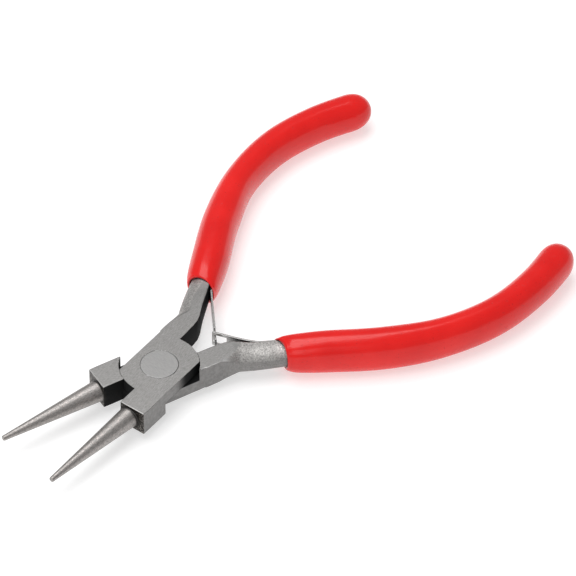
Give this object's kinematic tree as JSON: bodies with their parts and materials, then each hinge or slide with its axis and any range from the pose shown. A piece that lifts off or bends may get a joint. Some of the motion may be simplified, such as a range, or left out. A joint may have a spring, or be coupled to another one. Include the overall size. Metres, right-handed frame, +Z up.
{
  "type": "round nose pliers",
  "caption": "Round nose jewellery pliers with tapered cone jaws, lap joint with flush rivet, double leaf spring and red dipped handle sleeves.",
  "frame": {"origin": "on the pivot axis, level with the joint's underside", "axes": "+X towards the jaw tips along the centre plane, +Z up along the pivot axis"},
  "size_m": [0.1247, 0.077, 0.0098],
  "materials": {
    "ground_steel": "satin ground faces, speckled shot-blasted arms, blackened inner faces",
    "rivet_steel": "ground flush with the joint",
    "red_sleeve": "glossy dipped PVC",
    "spring_steel": "bright nickel-plated spring strip"
  },
  "bodies": {
    "lower_handle": {"lower_half": "ground_steel", "lower_grip": "red_sleeve", "lower_spring_rivet": "spring_steel", "pivot_rivet": "rivet_steel"},
    "upper_handle": {"upper_half": "ground_steel", "upper_grip": "red_sleeve", "upper_spring_rivet": "spring_steel"},
    "tongue_leaf": {"upper_spring_leaf": "spring_steel"},
    "slotted_leaf": {"lower_spring_leaf": "spring_steel"}
  },
  "joints": [
    {"name": "handle_hinge", "type": "hinge", "parent": "lower_handle", "child": "upper_handle", "pos_m": [0, 0, 0.003], "axis": [0, 0, -1], "range_deg": [-1, 21.8], "stiffness_Nm_per_rad": 0.9},
    {"name": "tongue_leaf_flex", "type": "hinge", "parent": "upper_handle", "child": "tongue_leaf", "pos_m": [-0.02359, -0.01041, 0.003], "axis": [0, 0, -1], "range_deg": [-0.75, 15.4], "deforming": ["upper_spring_leaf"]},
    {"name": "slotted_leaf_flex", "type": "hinge", "parent": "lower_handle", "child": "slotted_leaf", "pos_m": [-0.01953, 0.00756, 0.003], "axis": [0, 0, 1], "range_deg": [-1.2, 25.3], "deforming": ["lower_spring_leaf"]}
  ],
  "couplings": [
    {"joint": "tongue_leaf_flex", "follows": "handle_hinge", "ratio": 0.7019},
    {"joint": "slotted_leaf_flex", "follows": "handle_hinge", "ratio": 1.1547}
  ]
}
